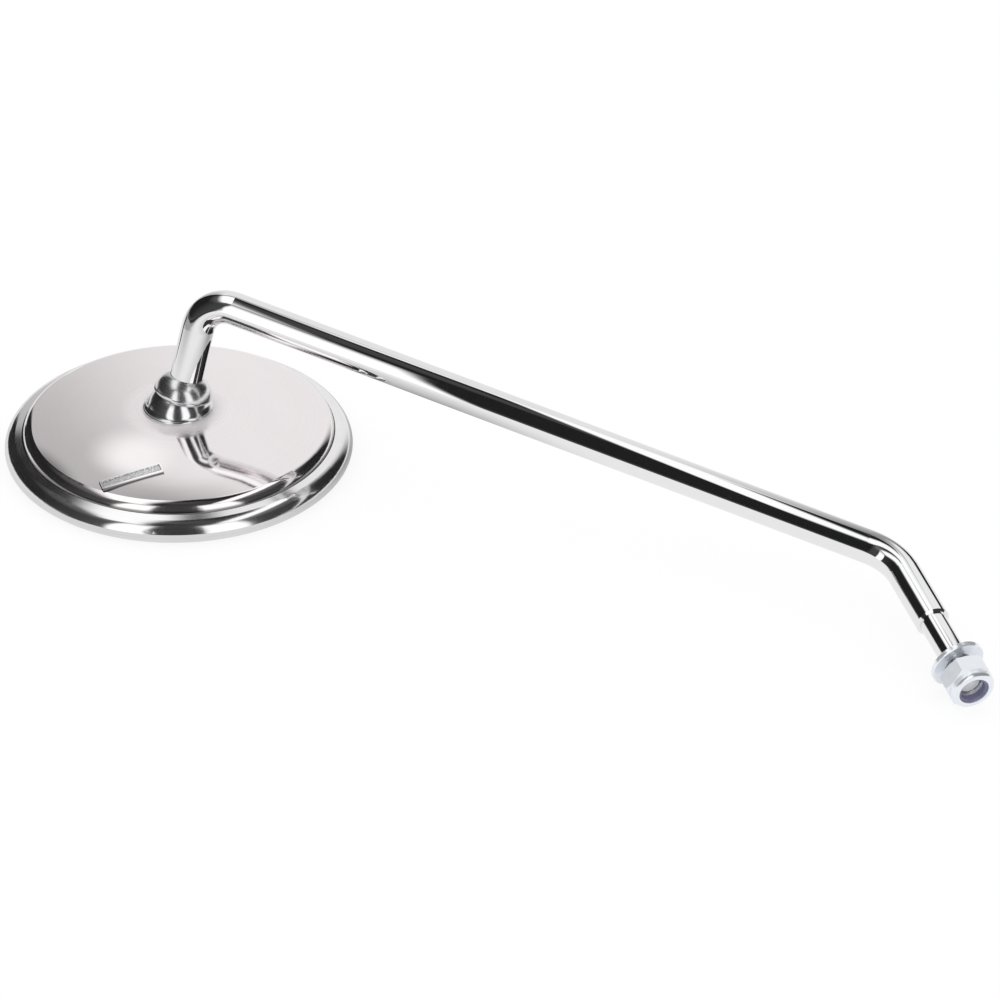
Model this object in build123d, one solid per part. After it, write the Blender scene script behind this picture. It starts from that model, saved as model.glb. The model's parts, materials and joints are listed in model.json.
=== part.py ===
from build123d import *
import math
import os

# Round swivel-head mirror on a bent rod, lying face down on a table.
# Millimetres. The head's axis is upright and the table is level; the long run of the rod
# heads along +X. The finished part is shifted so the seat of the mounting spigot is the origin.

# Rod: solid bar, two bends, turned down at both ends
ROD_DIA = 10.0
RISE_LEN = 38.94            # swivel centre to the corner of the near bend
RUN_LEN = 221.0             # corner to corner of the long straight run
TAIL_LEN = 29.0             # corner of the far bend to the spigot seat
NEAR_BEND_RADIUS = 10.0
FAR_BEND_RADIUS = 18.0
FAR_BEND_DEG = 48.0
FAR_BEND_TWIST_DEG = 15.0   # far bend turned about the run, out of square to the rise
SEAT_CHAMFER = 0.6

# Mounting spigot, measured along its axis from the seat
SHANK_DIA = 8.0
SHANK_LEN = 14.0
THREAD_DIA = 7.3            # plain cylinder at about the middle of the thread's depth
THREAD_LEN = 11.7
THREAD_POINT = 0.8

# Swivel: a hollow ball-topped boss on the head, a domed cap on the rod
BALL_SINK = 1.9             # ball centre below the shell's land
BOSS_RADIUS = 10.0
BOSS_WALL = 1.6
BOSS_HOLE_DIA = 11.6
BOSS_FOOT_DIA = 21.2
BOSS_FOOT_THICK = 0.9
BOSS_FOOT_ROUND = 0.4
BOSS_FLARE_HEIGHT = 2.1     # start of the flare on the ball, above the shell's land
BOSS_SKIRT_DIA = 19.0
SWAGE_LIP_DIA = 21.6
SWAGE_LIP_THICK = 0.7
SWIVEL_CLEAR = 0.06         # running fit of every ball face
CAP_RADIUS = 8.85
CAP_LIP_HEIGHT = 6.6        # lower edge of the cap above the ball centre
CAP_BAND = 0.95             # height of the straight band at the cap's edge
CAP_BAND_STEP = 0.2         # band proud of the dome
CAP_LIP_CHAMFER = 0.25
CAP_NECK_HEIGHT = 12.5      # top of the cap's dome, where it meets the rod
CAP_BULGE = 0.75            # dome proud of a plain cone
CAP_RECESS = 0.8            # depth to which the rod's end sits in the cap
CAP_BORE_CLEAR = 0.06
ROD_SEAT_GAP = 0.05
LINER_THICK = 0.65

# Stud of the rod inside the head, with its spring pack, heights from the ball centre
STUD_DIA = 6.0
STUD_END = -8.0
STUD_CHAMFER = 0.6
PACK_CLEAR = 0.1            # bores of the loose parts over the stud
THRUST_RIM_HEIGHT = 1.2
SPRING_TOP = 4.2
SPRING_POCKET_DIA = 9.9
DISC_COUNT = 4
DISC_DIA = 9.3
DISC_SHEET = 0.8
DISC_CONE = 0.7             # height of each disc spring's cone
RETAINER_DIA = 11.2
RETAINER_THICK = 1.2
SWIVEL_NUT_FLATS = 10.0
SWIVEL_NUT_THICK = 4.0
PACK_GAP = 0.02             # between faces that bear on each other in the pack

# Back shell: pressed sheet with a flat land, a shallow dome, a full round shoulder and an upright wall
SHELL_SHEET = 0.7
LAND_DIA = 24.0
LAND_HEIGHT = 15.7
SHOULDER_RADIUS = 4.0
SHOULDER_HEIGHT = 6.9       # where the shoulder turns into the wall
WALL_FOOT_ROUND = 0.35
RIM_WALL_GAP = 0.06         # shell's wall to the rim ring's upper lip
SHELL_HOLE_CLEAR = 0.05

# Rim ring: rolled hollow bead that closes over the shell flange, the gasket and the glass
HEAD_DIA = 105.4
RIM_WIDTH = 5.3             # outer edge to the upper lip's inner edge
BEAD_RADIUS = 3.1           # round of the outer edge and underside
BEAD_TOP_RADIUS = 4.7       # fuller round over the top
BEAD_JOIN_DEG = 16.0        # angle above level where the two rounds meet
BEAD_SLOPE_DEG = 17.0       # fall of the top, outward from the upper lip
BEAD_SHEET = 0.6
BEAD_LIP = 1.6              # flat lip under the edge of the glass
STACK_GAP = 0.02
RIM_EDGE_CLEAR = 0.25       # rim ring's inside to the edge of the gasket and shell flange

# Glass and its gasket
GLASS_THICK = 2.0
GLASS_CURVE_RADIUS = 1200.0
GASKET_WEB = 0.3
GASKET_EDGE = 0.5
GASKET_GRIP = 2.0           # width of the glass's edge inside the gasket
GASKET_CLEAR = 0.02

# Plain raised name plate, left blank
PLATE_LEN = 19.0
PLATE_WIDTH = 3.6
PLATE_THICK = 1.0
PLATE_BORDER = 0.6
PLATE_RECESS = 0.4
PLATE_BED = 0.03            # glue line under the plate
PLATE_INSET = 7.65          # plate centre in from the dome's edge
PLATE_PLACE_DEG = 273.0     # direction of the plate's centre from the head's axis
PLATE_TURN_DEG = 42.9       # direction of the plate's long side

# Flat washer and self-locking nut on the spigot
WASHER_DIA = 16.0
WASHER_BORE = 8.5
WASHER_THICK = 1.6
WASHER_EDGE = 0.25
WASHER_PLACE = 17.0         # washer centre from the seat
WASHER_LEAN_DEG = 7.0
WASHER_LEAN_TURN_DEG = 63.0
NUT_PLACE = 21.0            # nut's near face from the seat
NUT_FLATS = 13.0
NUT_HEX_HEIGHT = 5.8
NUT_HEIGHT = 8.0
NUT_COLLAR_DIA = 12.8
NUT_COLLAR_ROUND = 1.1
NUT_LIP = 0.6
NUT_LIP_BORE = 8.9
NUT_THREAD_CLEAR = 0.06
NUT_FACE_DIA = 12.6         # washer face left by the corner chamfer
NUT_TURN_DEG = 12.0
INSERT_DIA = 10.0
INSERT_THREAD_CLEAR = 0.04
INSERT_HEIGHT = 1.9
INSERT_CLEAR = 0.03

# Rest: the rod is rolled about its long run and dips until the nut end touches the table
REST_ROLL_DEG = -11.0

os.makedirs("parts", exist_ok=True)


def turn(*edges):
    """Solid of revolution about Z from edges that close a profile in the XZ plane."""
    return revolve(make_face(Wire(edges)), axis=Axis.Z)


def chain(*steps):
    """Straight edges through points given as (radius, height)."""
    return [Line((p[0], 0, p[1]), (q[0], 0, q[1])) for p, q in zip(steps[:-1], steps[1:])]


def bow(radius, height, start, end, away=1):
    """Arc about the point (0, height) from start to end, both as (radius, height)."""
    mid_r = (start[0] + end[0]) / 2
    mid_h = (start[1] + end[1]) / 2 - height
    k = away * radius / math.hypot(mid_r, mid_h)
    return ThreePointArc((start[0], 0, start[1]), (mid_r * k, 0, mid_h * k + height), (end[0], 0, end[1]))


def rise_on(radius, r):
    """Height above its centre of a ball's surface at distance r from the axis."""
    return math.sqrt(radius ** 2 - r ** 2)


def at(point):
    """Point of the XZ plane from (radius, height)."""
    return (point[0], 0, point[1])


def proud(start, end, bulge):
    """Middle of an arc that stands proud of the straight line from start to end, both going outward."""
    run = end[0] - start[0]
    rise = end[1] - start[1]
    span = math.hypot(run, rise)
    return ((start[0] + end[0]) / 2 - bulge * rise / span, 0, (start[1] + end[1]) / 2 + bulge * run / span)


def ring(outer, inner, low, high):
    """Plain round washer or tube between two heights."""
    return turn(*chain((inner, low), (outer, low), (outer, high), (inner, high), (inner, low)))


# Bent rod in its own frame: ball centre at zero, rise along +Z, long run along +X
bend = math.radians(FAR_BEND_DEG)
twist = math.radians(FAR_BEND_TWIST_DEG)
tail_dir = Vector(math.cos(bend), -math.sin(bend) * math.cos(twist), -math.sin(bend) * math.sin(twist))
near_corner = Vector(0, 0, RISE_LEN)
far_corner = Vector(RUN_LEN, 0, RISE_LEN)
seat = far_corner + tail_dir * TAIL_LEN
spigot = Plane(origin=seat, x_dir=Vector(0, 0, 1).cross(tail_dir), z_dir=tail_dir)
ROD_R = ROD_DIA / 2
STUD_R = STUD_DIA / 2


def corner_arc(corner, into, out, radius):
    """Arc that rounds a corner of the rod's centre line, with its two ends."""
    half = into.get_angle(out) / 2
    reach = radius * math.tan(math.radians(half))
    start = corner - into * reach
    end = corner + out * reach
    inward = (out - into).normalized()
    mid = corner + inward * (radius / math.cos(math.radians(half)) - radius)
    return start, ThreePointArc(start, mid, end), end


rise_dir = Vector(0, 0, 1)
run_dir = Vector(1, 0, 0)
a0, near_arc, a1 = corner_arc(near_corner, rise_dir, run_dir, NEAR_BEND_RADIUS)
b0, far_arc, b1 = corner_arc(far_corner, run_dir, tail_dir, FAR_BEND_RADIUS)
cap_seat = CAP_NECK_HEIGHT - CAP_RECESS
shoulder = cap_seat + ROD_SEAT_GAP
rod_foot = Vector(0, 0, (shoulder + a0.Z) / 2)
tail_end = seat - tail_dir * 2 * SEAT_CHAMFER
centre_line = Wire([Line(rod_foot, a0), near_arc, Line(a1, b0), far_arc, Line(b1, tail_end)])
rod = sweep(Plane(origin=rod_foot, z_dir=rise_dir) * Circle(ROD_R), path=centre_line)
stud_end = turn(*chain(
    (0, STUD_END), (STUD_R - STUD_CHAMFER, STUD_END), (STUD_R, STUD_END + STUD_CHAMFER),
    (STUD_R, shoulder), (ROD_R, shoulder), (ROD_R, rod_foot.Z), (0, rod_foot.Z), (0, STUD_END)))
SHANK_R = SHANK_DIA / 2
THREAD_R = THREAD_DIA / 2
thread_tip = SHANK_LEN + THREAD_LEN
spigot_end = turn(*chain(
    (0, -2 * SEAT_CHAMFER), (ROD_R, -2 * SEAT_CHAMFER), (ROD_R, -SEAT_CHAMFER), (ROD_R - SEAT_CHAMFER, 0),
    (SHANK_R, 0), (SHANK_R, SHANK_LEN), (THREAD_R, SHANK_LEN), (THREAD_R, thread_tip - THREAD_POINT),
    (THREAD_R - THREAD_POINT, thread_tip), (0, thread_tip), (0, -2 * SEAT_CHAMFER)))
stem = rod + stud_end + spigot.location * spigot_end

# Domed cap between the rod's shoulder and the boss, ball-faced underneath
cap_bore = STUD_R + CAP_BORE_CLEAR
cap_neck = ROD_R + CAP_BORE_CLEAR
cap_ball = BOSS_RADIUS + SWIVEL_CLEAR
neck_top = (cap_neck, CAP_NECK_HEIGHT)
lip_in = (math.sqrt(cap_ball ** 2 - CAP_LIP_HEIGHT ** 2), CAP_LIP_HEIGHT)
bore_low = (cap_bore, rise_on(cap_ball, cap_bore))
band_top = CAP_LIP_HEIGHT + CAP_BAND
dome_foot = (CAP_RADIUS - CAP_BAND_STEP, band_top)
cap_mid = proud(neck_top, dome_foot, CAP_BULGE)
dome_cap = turn(
    *chain(bore_low, (cap_bore, cap_seat), (cap_neck, cap_seat), neck_top),
    ThreePointArc(at(neck_top), cap_mid, at(dome_foot)),
    *chain(dome_foot, (CAP_RADIUS, band_top - CAP_BAND_STEP), (CAP_RADIUS, CAP_LIP_HEIGHT + CAP_LIP_CHAMFER),
           (CAP_RADIUS - CAP_LIP_CHAMFER, CAP_LIP_HEIGHT), lip_in),
    bow(cap_ball, 0, lip_in, bore_low))

# Spring pack on the stud: ball-faced thrust washer, disc springs, retainer, thin nut
liner_out = BOSS_RADIUS - BOSS_WALL - SWIVEL_CLEAR
liner_in = liner_out - LINER_THICK
thrust_ball = liner_in - SWIVEL_CLEAR
pack_bore = STUD_R + PACK_CLEAR
thrust_top = (pack_bore, rise_on(thrust_ball, pack_bore))
thrust_rim = (rise_on(thrust_ball, THRUST_RIM_HEIGHT), THRUST_RIM_HEIGHT)
pocket = SPRING_POCKET_DIA / 2
thrust_washer = turn(
    bow(thrust_ball, 0, thrust_top, thrust_rim),
    *chain(thrust_rim, (pocket, THRUST_RIM_HEIGHT), (pocket, SPRING_TOP), (pack_bore, SPRING_TOP), thrust_top))
disc_r = DISC_DIA / 2
disc_springs = []
disc_top = SPRING_TOP - PACK_GAP
for number in range(DISC_COUNT):
    drop_in = DISC_CONE * (number % 2)
    drop_out = DISC_CONE - drop_in
    disc_springs.append(turn(*chain(
        (pack_bore, disc_top - drop_in), (disc_r, disc_top - drop_out),
        (disc_r, disc_top - drop_out - DISC_SHEET), (pack_bore, disc_top - drop_in - DISC_SHEET),
        (pack_bore, disc_top - drop_in))))
    disc_top = disc_top - DISC_CONE - DISC_SHEET - PACK_GAP
retainer_top = disc_top
retainer_low = retainer_top - RETAINER_THICK
spring_retainer = ring(RETAINER_DIA / 2, pack_bore, retainer_low, retainer_top)
nut_top = retainer_low - PACK_GAP
swivel_hex = extrude(RegularPolygon(SWIVEL_NUT_FLATS / 2, 6, major_radius=False), SWIVEL_NUT_THICK)
swivel_nut = Pos(0, 0, nut_top - SWIVEL_NUT_THICK) * (
    swivel_hex - Pos(0, 0, SWIVEL_NUT_THICK / 2) * Cylinder(pack_bore, 2 * SWIVEL_NUT_THICK))

# Boss on the head, heights from the ball centre: ball top, flared foot, skirt and rolled lip under the shell
hole = BOSS_HOLE_DIA / 2
land = BALL_SINK
foot_top = land + BOSS_FOOT_THICK
foot_r = BOSS_FOOT_DIA / 2
skirt = BOSS_SKIRT_DIA / 2
lip_top = land - SHELL_SHEET - 2 * STACK_GAP
boss_in = BOSS_RADIUS - BOSS_WALL
ball_top = (hole, rise_on(BOSS_RADIUS, hole))
flare_low = land + BOSS_FLARE_HEIGHT
ball_foot = (rise_on(BOSS_RADIUS, flare_low), flare_low)
inner_foot = (boss_in, 0)
inner_top = (hole, rise_on(boss_in, hole))
rnd = BOSS_FOOT_ROUND
edge_mid = (foot_r - rnd + rnd * math.sqrt(0.5), foot_top - rnd + rnd * math.sqrt(0.5))
flare_end = (foot_r - rnd, foot_top)
ball_slope = math.asin(ball_foot[0] / BOSS_RADIUS)
chord_slope = math.atan2(ball_foot[1] - foot_top, flare_end[0] - ball_foot[0])
chord = math.hypot(flare_end[0] - ball_foot[0], ball_foot[1] - foot_top)
flare_mid = proud(ball_foot, flare_end, -chord / 2 * math.tan((ball_slope - chord_slope) / 2))
swivel_boss = turn(
    bow(BOSS_RADIUS, 0, ball_top, ball_foot),
    ThreePointArc(at(ball_foot), flare_mid, at(flare_end)),
    ThreePointArc(at(flare_end), at(edge_mid), (foot_r, 0, foot_top - rnd)),
    *chain((foot_r, foot_top - rnd), (foot_r, land), (skirt, land), (skirt, lip_top),
           (SWAGE_LIP_DIA / 2, lip_top), (SWAGE_LIP_DIA / 2, lip_top - SWAGE_LIP_THICK),
           (boss_in, lip_top - SWAGE_LIP_THICK), inner_foot),
    bow(boss_in, 0, inner_foot, inner_top),
    Line((hole, 0, inner_top[1]), (hole, 0, ball_top[1])))

# Friction liner under the ball top
liner_top_out = (hole, rise_on(liner_out, hole))
liner_top_in = (hole, rise_on(liner_in, hole))
liner_low = math.radians(88)
liner_low_out = (liner_out * math.sin(liner_low), liner_out * math.cos(liner_low))
liner_low_in = (liner_in * math.sin(liner_low), liner_in * math.cos(liner_low))
friction_liner = turn(
    bow(liner_out, 0, liner_top_out, liner_low_out),
    *chain(liner_low_out, liner_low_in),
    bow(liner_in, 0, liner_low_in, liner_top_in),
    *chain(liner_top_in, liner_top_out))

# Rim ring, glass, gasket and shell, heights from the table
bead_mid = (HEAD_DIA / 2 - BEAD_RADIUS, BEAD_RADIUS)
bead_in = BEAD_RADIUS - BEAD_SHEET
join = math.radians(BEAD_JOIN_DEG)
crown = math.radians(90 - BEAD_SLOPE_DEG)
top_shift = BEAD_TOP_RADIUS - BEAD_RADIUS
top_mid = (bead_mid[0] - top_shift * math.cos(join), bead_mid[1] - top_shift * math.sin(join))
rim_lip = HEAD_DIA / 2 - RIM_WIDTH
fall = math.tan(math.radians(BEAD_SLOPE_DEG))


def round_at(middle, radius, angle):
    """Point of a round about a middle, at an angle above straight outward."""
    return (middle[0] + radius * math.cos(angle), middle[1] + radius * math.sin(angle))


def bead_side(sheet):
    """Edges of the bead from its upper lip over the top, round the edge and down to its lowest point."""
    top = round_at(top_mid, BEAD_TOP_RADIUS - sheet, crown)
    lip = (rim_lip, top[1] + (top[0] - rim_lip) * fall)
    middle = round_at(top_mid, BEAD_TOP_RADIUS - sheet, (crown + join) / 2)
    low = BEAD_RADIUS - sheet
    meet = round_at(bead_mid, low, join)
    side = round_at(bead_mid, low, -math.pi / 6)
    base = round_at(bead_mid, low, -math.pi / 2)
    edges = [Line(at(lip), at(top)), ThreePointArc(at(top), at(middle), at(meet)),
             ThreePointArc(at(meet), at(side), at(base))]
    return lip, edges, base


outer_lip, outer_side, outer_base = bead_side(0)
inner_lip, inner_side, inner_base = bead_side(BEAD_SHEET)
low_lip = bead_mid[0] - BEAD_LIP
rim_ring = turn(
    *outer_side,
    *chain(outer_base, (low_lip, outer_base[1]), (low_lip, inner_base[1]), inner_base),
    *inner_side,
    Line(at(inner_lip), at(outer_lip)))
gasket_tall = GLASS_THICK + 2 * (GASKET_WEB + GASKET_CLEAR)
stack_low = BEAD_SHEET + STACK_GAP
gasket_high = stack_low + gasket_tall
flange_low = gasket_high + STACK_GAP
flange_high = flange_low + SHELL_SHEET
gasket_r = bead_mid[0] + rise_on(bead_in, BEAD_RADIUS - stack_low) - RIM_EDGE_CLEAR
glass_r = gasket_r - GASKET_EDGE
glass_low = stack_low + GASKET_WEB + GASKET_CLEAR
glass_high = glass_low + GLASS_THICK
groove_r = glass_r + GASKET_CLEAR
gasket_in = glass_r - GASKET_GRIP
glass_gasket = turn(*chain(
    (gasket_in, stack_low), (gasket_r, stack_low), (gasket_r, gasket_high), (gasket_in, gasket_high),
    (gasket_in, glass_high + GASKET_CLEAR), (groove_r, glass_high + GASKET_CLEAR),
    (groove_r, glass_low - GASKET_CLEAR), (gasket_in, glass_low - GASKET_CLEAR), (gasket_in, stack_low)))

# Glass bulges to the viewer inside the gasket and is flat where it is gripped
bulge_r = gasket_in - 2 * GASKET_EDGE
bulge = GLASS_CURVE_RADIUS - rise_on(GLASS_CURVE_RADIUS, bulge_r)
bulge_mid = GLASS_CURVE_RADIUS - rise_on(GLASS_CURVE_RADIUS, bulge_r / 2)
mirror_glass = turn(
    ThreePointArc((0, 0, glass_low - bulge), (bulge_r / 2, 0, glass_low - bulge + bulge_mid), (bulge_r, 0, glass_low)),
    *chain((bulge_r, glass_low), (glass_r, glass_low), (glass_r, glass_high), (bulge_r, glass_high)),
    ThreePointArc((bulge_r, 0, glass_high), (bulge_r / 2, 0, glass_high - bulge + bulge_mid), (0, 0, glass_high - bulge)),
    Line((0, 0, glass_high - bulge), (0, 0, glass_low - bulge)))

# Shell: dome is part of a ball through the land's edge that runs smoothly into the shoulder's round
land_r = LAND_DIA / 2
wall_r = rim_lip - RIM_WALL_GAP
wall_in = wall_r - SHELL_SHEET
shoulder_mid = (wall_r - SHOULDER_RADIUS, SHOULDER_HEIGHT)
low_ball, high_ball = -100.0 * HEAD_DIA, 0.0
for step in range(80):
    ball_drop = (low_ball + high_ball) / 2
    dome_r = math.hypot(land_r, LAND_HEIGHT - ball_drop)
    if math.hypot(shoulder_mid[0], shoulder_mid[1] - ball_drop) > dome_r - SHOULDER_RADIUS:
        high_ball = ball_drop
    else:
        low_ball = ball_drop
edge_tilt = math.atan2(shoulder_mid[1] - ball_drop, shoulder_mid[0])
edge_r, edge_height = round_at(shoulder_mid, SHOULDER_RADIUS, edge_tilt)
hole_r = skirt + SHELL_HOLE_CLEAR
under = LAND_HEIGHT - SHELL_SHEET
thin = dome_r - SHELL_SHEET
under_land = math.sqrt(thin ** 2 - (under - ball_drop) ** 2)
tight = SHOULDER_RADIUS - SHELL_SHEET
under_edge = round_at(shoulder_mid, tight, edge_tilt)
back_shell = turn(
    *chain((hole_r, LAND_HEIGHT), (land_r, LAND_HEIGHT)),
    bow(dome_r, ball_drop, (land_r, LAND_HEIGHT), (edge_r, edge_height)),
    ThreePointArc((edge_r, 0, edge_height), at(round_at(shoulder_mid, SHOULDER_RADIUS, edge_tilt / 2)),
                  (wall_r, 0, SHOULDER_HEIGHT)),
    *chain((wall_r, SHOULDER_HEIGHT), (wall_r, flange_high + WALL_FOOT_ROUND),
           (wall_r + WALL_FOOT_ROUND, flange_high), (gasket_r, flange_high), (gasket_r, flange_low),
           (wall_in, flange_low), (wall_in, SHOULDER_HEIGHT)),
    ThreePointArc((wall_in, 0, SHOULDER_HEIGHT), at(round_at(shoulder_mid, tight, edge_tilt / 2)), at(under_edge)),
    bow(thin, ball_drop, under_edge, (under_land, under)),
    *chain((under_land, under), (hole_r, under), (hole_r, LAND_HEIGHT)))

# Blank name plate bedded on the dome, with a raised border
plate_spot = Location((0, 0, 0), (0, 0, PLATE_PLACE_DEG)) * Pos(edge_r - PLATE_INSET, 0, 0)
plate_spot = plate_spot * Location((0, 0, 0), (0, 0, PLATE_TURN_DEG - PLATE_PLACE_DEG))
deep = 6 * PLATE_THICK
dome_ball = Pos(0, 0, ball_drop)
plate_block = plate_spot * Pos(0, 0, edge_height) * Box(PLATE_LEN, PLATE_WIDTH, 2 * deep)
plate_field = plate_spot * Pos(0, 0, edge_height) * Box(
    PLATE_LEN - 2 * PLATE_BORDER, PLATE_WIDTH - 2 * PLATE_BORDER, 2 * deep)
raised = (plate_block & dome_ball * Sphere(dome_r + PLATE_THICK)) - dome_ball * Sphere(dome_r + PLATE_BED)
name_plate = raised - (plate_field - dome_ball * Sphere(dome_r + PLATE_THICK - PLATE_RECESS))

# Flat washer, self-locking nut and its nylon ring, along the spigot from the seat
w = WASHER_THICK / 2
w_out = WASHER_DIA / 2
w_in = WASHER_BORE / 2
flat_washer = turn(*chain(
    (w_in, -w), (w_out - WASHER_EDGE, -w), (w_out, -w + WASHER_EDGE), (w_out, w - WASHER_EDGE),
    (w_out - WASHER_EDGE, w), (w_in, w), (w_in, -w)))
lean = Location((0, 0, WASHER_PLACE), (0, 0, WASHER_LEAN_TURN_DEG)) * Location((0, 0, 0), (WASHER_LEAN_DEG, 0, 0))
spigot_washer = lean * flat_washer
hexagon = extrude(RegularPolygon(NUT_FLATS / 2, 6, major_radius=False, rotation=NUT_TURN_DEG), NUT_HEX_HEIGHT)
tip_r = NUT_FLATS / math.sqrt(3)
face_r = NUT_FACE_DIA / 2
corner_fall = (tip_r - face_r) * math.tan(math.radians(30))
envelope = turn(*chain((0, 0), (face_r, 0), (tip_r, corner_fall), (tip_r, NUT_HEX_HEIGHT - corner_fall),
                       (face_r, NUT_HEX_HEIGHT), (0, NUT_HEX_HEIGHT), (0, 0)))
collar_r = NUT_COLLAR_DIA / 2
crn = NUT_COLLAR_ROUND
collar = turn(
    *chain((0, NUT_HEX_HEIGHT / 2), (collar_r, NUT_HEX_HEIGHT / 2), (collar_r, NUT_HEIGHT - crn)),
    ThreePointArc((collar_r, 0, NUT_HEIGHT - crn),
                  (collar_r - crn + crn * math.sqrt(0.5), 0, NUT_HEIGHT - crn + crn * math.sqrt(0.5)),
                  (collar_r - crn, 0, NUT_HEIGHT)),
    *chain((collar_r - crn, NUT_HEIGHT), (0, NUT_HEIGHT), (0, NUT_HEX_HEIGHT / 2)))
bore_r = THREAD_R + NUT_THREAD_CLEAR
insert_low = NUT_HEIGHT - NUT_LIP - INSERT_HEIGHT
pocket_r = INSERT_DIA / 2 + INSERT_CLEAR
nut_bore = turn(*chain(
    (0, 0), (bore_r, 0), (bore_r, insert_low - INSERT_CLEAR), (pocket_r, insert_low - INSERT_CLEAR),
    (pocket_r, NUT_HEIGHT - NUT_LIP + INSERT_CLEAR), (NUT_LIP_BORE / 2, NUT_HEIGHT - NUT_LIP + INSERT_CLEAR),
    (NUT_LIP_BORE / 2, NUT_HEIGHT), (0, NUT_HEIGHT), (0, 0)))
on_spigot = Pos(0, 0, NUT_PLACE)
lock_nut = on_spigot * ((hexagon & envelope) + collar - nut_bore)
insert_bore = THREAD_R + INSERT_THREAD_CLEAR
nylon_insert = on_spigot * ring(INSERT_DIA / 2, insert_bore, insert_low, insert_low + INSERT_HEIGHT)

# Rest: points of the nut and washer that may touch the table
swivel_height = LAND_HEIGHT - BALL_SINK
touch = []
for step in range(48):
    turn_by = 2 * math.pi * step / 48
    side = Vector(math.cos(turn_by), math.sin(turn_by), 0)
    touch.append(side * collar_r + Vector(0, 0, NUT_PLACE + NUT_HEIGHT - crn))
    touch.append(Plane(lean).from_local_coords(side * w_out))
for vertex in lock_nut.vertices():
    touch.append(vertex.center())


def rod_pose(dip_deg):
    """Frame of the rod when its long run dips below level by an angle."""
    dip = math.radians(dip_deg)
    roll = math.radians(REST_ROLL_DEG)
    rise = (math.sin(dip) * math.cos(roll), -math.sin(roll), math.cos(dip) * math.cos(roll))
    return Plane(origin=(0, 0, swivel_height), x_dir=(math.cos(dip), 0, -math.sin(dip)), z_dir=rise)


def clearance(dip_deg):
    """Height of the lowest point of the nut end above the table."""
    pose = rod_pose(dip_deg)
    return min(pose.from_local_coords(spigot.from_local_coords(p)).Z for p in touch)


low_dip, high_dip = -20.0, 40.0
for step in range(50):
    middle = (low_dip + high_dip) / 2
    if clearance(middle) > 0:
        low_dip = middle
    else:
        high_dip = middle
rest = rod_pose(low_dip)

# Set every piece in the shared frame, origin at the spigot seat
origin = rest.from_local_coords(seat)
shift = Location((-origin.X, -origin.Y, -origin.Z))
on_head = shift
on_boss = shift * Location((0, 0, swivel_height))
on_rod = shift * rest.location
on_tail = on_rod * spigot.location
pieces = {
    "stem": on_rod * stem,
    "dome_cap": on_rod * dome_cap,
    "thrust_washer": on_rod * thrust_washer,
    **{f"disc_spring_{number + 1}": on_rod * disc for number, disc in enumerate(disc_springs)},
    "spring_retainer": on_rod * spring_retainer,
    "swivel_nut": on_rod * swivel_nut,
    "swivel_boss": on_boss * swivel_boss,
    "friction_liner": on_boss * friction_liner,
    "back_shell": on_head * back_shell,
    "rim_ring": on_head * rim_ring,
    "mirror_glass": on_head * mirror_glass,
    "glass_gasket": on_head * glass_gasket,
    "name_plate": on_head * name_plate,
    "spigot_washer": on_tail * spigot_washer,
    "lock_nut": on_tail * lock_nut,
    "nylon_insert": on_tail * nylon_insert,
}
for name, piece in pieces.items():
    export_step(piece, f"parts/{name}.step")

swivel = shift.position + Vector(0, 0, swivel_height)
print("ball centre", swivel)
print("table height", -origin.Z, "dip", low_dip)
print("rise direction", rest.z_dir)
print("spigot direction", Plane(on_tail).z_dir)
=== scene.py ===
import json
import math
import bpy
import numpy as np
from mathutils import Matrix, Vector


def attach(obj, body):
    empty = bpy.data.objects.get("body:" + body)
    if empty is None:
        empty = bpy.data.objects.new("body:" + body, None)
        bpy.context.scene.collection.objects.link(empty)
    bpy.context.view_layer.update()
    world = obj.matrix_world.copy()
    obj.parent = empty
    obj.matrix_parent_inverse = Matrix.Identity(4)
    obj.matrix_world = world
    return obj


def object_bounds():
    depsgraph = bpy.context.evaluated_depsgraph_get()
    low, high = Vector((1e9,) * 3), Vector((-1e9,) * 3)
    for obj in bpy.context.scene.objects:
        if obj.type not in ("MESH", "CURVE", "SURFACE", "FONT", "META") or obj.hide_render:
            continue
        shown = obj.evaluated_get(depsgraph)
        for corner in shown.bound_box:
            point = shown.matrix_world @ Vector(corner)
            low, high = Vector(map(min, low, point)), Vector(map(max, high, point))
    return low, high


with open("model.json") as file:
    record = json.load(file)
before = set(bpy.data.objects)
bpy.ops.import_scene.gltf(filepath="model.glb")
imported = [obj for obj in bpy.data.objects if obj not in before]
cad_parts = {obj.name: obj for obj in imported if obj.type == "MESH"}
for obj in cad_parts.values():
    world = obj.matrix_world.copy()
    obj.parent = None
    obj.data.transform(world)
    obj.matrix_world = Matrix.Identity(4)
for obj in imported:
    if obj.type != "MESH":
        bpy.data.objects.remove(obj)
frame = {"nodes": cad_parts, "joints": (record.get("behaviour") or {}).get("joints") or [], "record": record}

cad_low, cad_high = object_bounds()
node = frame["nodes"]

# Bent rod: solid steel bar, cold bent twice, turned down at both ends, then polished and plated
# to a mirror. The near end is held in the domed cap, the far end is the mounting spigot, whose
# end face is only sawn and bead blasted.
ROD_COLOUR = (0.88, 0.88, 0.89, 1)
BUFFING_LUMP = 0.004
BUFFING_TONE = (0.94, 0.94, 0.94)
CLOUD_SPAN = (0.3, 0.7)      # share of the noise's range that carries the haze from low to high
END_FACE = 0.0252            # distance of the end face from the seat, along the spigot
END_FADE = 0.0003
END_ROUGHNESS = 0.45
END_METAL = 0.15
spigot = frame["record"]["mounts"][0]
tail_axis = np.array(spigot["axis"])
seat = np.array(spigot["pos_m"])


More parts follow.
